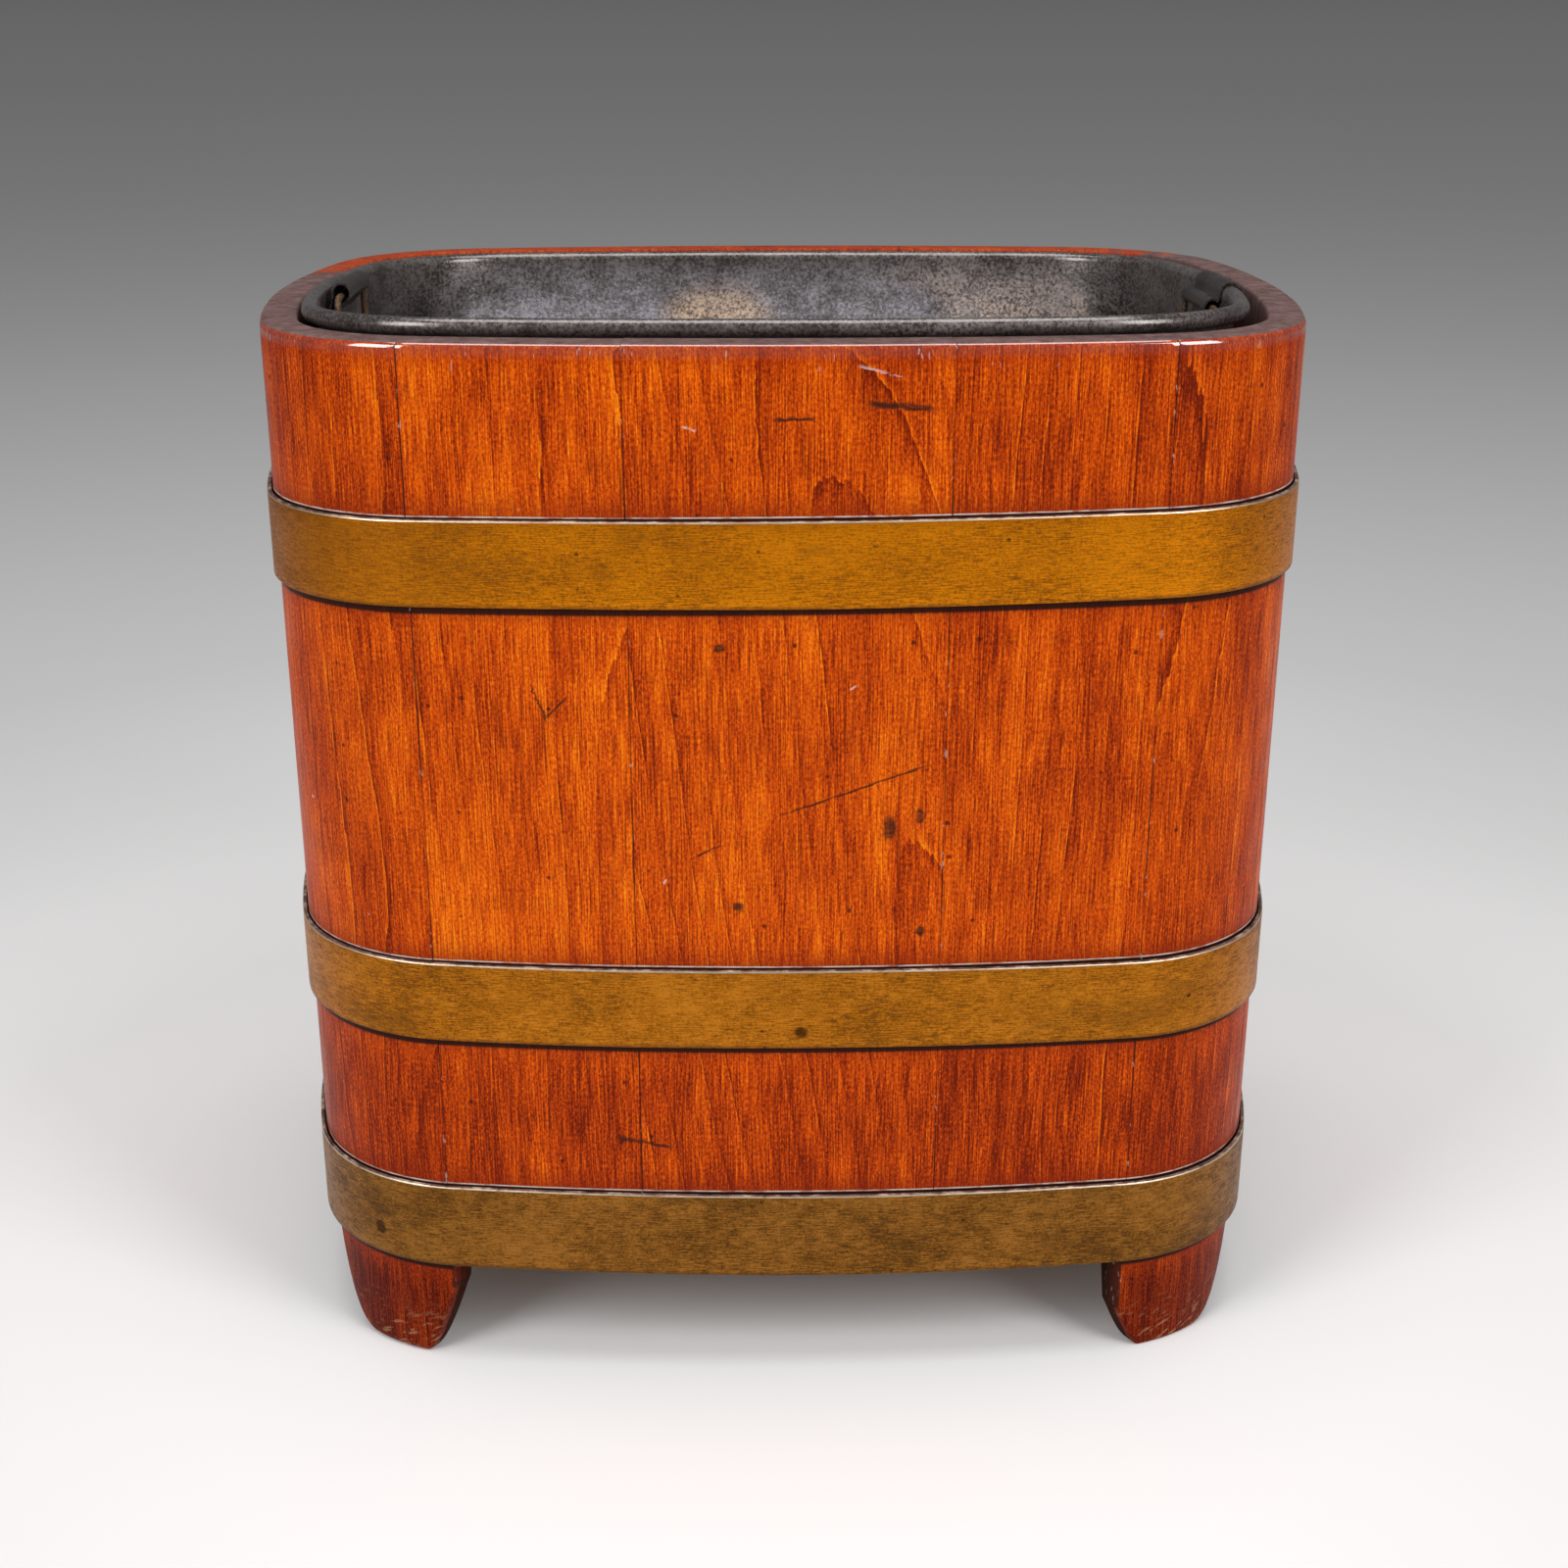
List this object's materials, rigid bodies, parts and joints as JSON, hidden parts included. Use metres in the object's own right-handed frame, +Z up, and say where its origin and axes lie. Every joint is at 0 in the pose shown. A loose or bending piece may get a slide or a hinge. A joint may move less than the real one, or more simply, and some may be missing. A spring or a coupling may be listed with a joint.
{
  "type": "coal bin",
  "caption": "Open-topped coopered hardwood coal bin on four swept feet, bound with riveted brass hoops, with a lift-out sheet-iron liner that has wire drop handles.",
  "frame": {"origin": "on the floor, in the middle of the bin's plan", "axes": "+X along the bin's width towards its right end, +Y to its back, +Z up"},
  "size_m": [0.3823, 0.2951, 0.3874],
  "materials": {
    "stave_wood": "varnished red-brown hardwood, worn at the feet and rim",
    "board_wood": "bare sawn hardwood, coal-stained",
    "hoop_brass": "aged brass strip with brown patina",
    "liner_iron": "dark blackened sheet iron with rust stains",
    "handle_wire": "rusty bare iron wire"
  },
  "bodies": {
    "casing": {"base_board_back": "board_wood", "base_board_front": "board_wood", "base_board_middle": "board_wood", "hoop_lower": "hoop_brass", "hoop_lower_rivet_left": "hoop_brass", "hoop_lower_rivet_right": "hoop_brass", "hoop_middle": "hoop_brass", "hoop_middle_rivet_left": "hoop_brass", "hoop_middle_rivet_right": "hoop_brass", "hoop_upper": "hoop_brass", "hoop_upper_rivet_left": "hoop_brass", "hoop_upper_rivet_right": "hoop_brass", "stave_back_left": "stave_wood", "stave_back_middle": "stave_wood", "stave_back_right": "stave_wood", "stave_corner_back_left": "stave_wood", "stave_corner_back_right": "stave_wood", "stave_corner_front_left": "stave_wood", "stave_corner_front_right": "stave_wood", "stave_end_left_back": "stave_wood", "stave_end_left_front": "stave_wood", "stave_end_left_middle": "stave_wood", "stave_end_right_back": "stave_wood", "stave_end_right_front": "stave_wood", "stave_end_right_middle": "stave_wood", "stave_front_left": "stave_wood", "stave_front_middle": "stave_wood", "stave_front_right": "stave_wood"},
    "liner": {"left_handle_strap": "liner_iron", "left_strap_rivet_1": "liner_iron", "left_strap_rivet_2": "liner_iron", "liner_base": "liner_iron", "liner_rim_wire": "handle_wire", "liner_shell": "liner_iron", "right_handle_strap": "liner_iron", "right_strap_rivet_1": "liner_iron", "right_strap_rivet_2": "liner_iron"},
    "left_handle": {"left_handle": "handle_wire"},
    "right_handle": {"right_handle": "handle_wire"}
  },
  "joints": [
    {"name": "liner_lift", "type": "slide", "parent": "casing", "child": "liner", "axis": [0, 0, 1], "range_m": [0, 0.36]},
    {"name": "left_handle_swing", "type": "hinge", "parent": "liner", "child": "left_handle", "pos_m": [-0.16279, 0, 0.38115], "axis": [0, -0.9997, 0.0236], "range_deg": [0, 235]},
    {"name": "right_handle_swing", "type": "hinge", "parent": "liner", "child": "right_handle", "pos_m": [0.16054, 0, 0.37605], "axis": [0, 0.9997, -0.0232], "range_deg": [0, 190]}
  ]
}
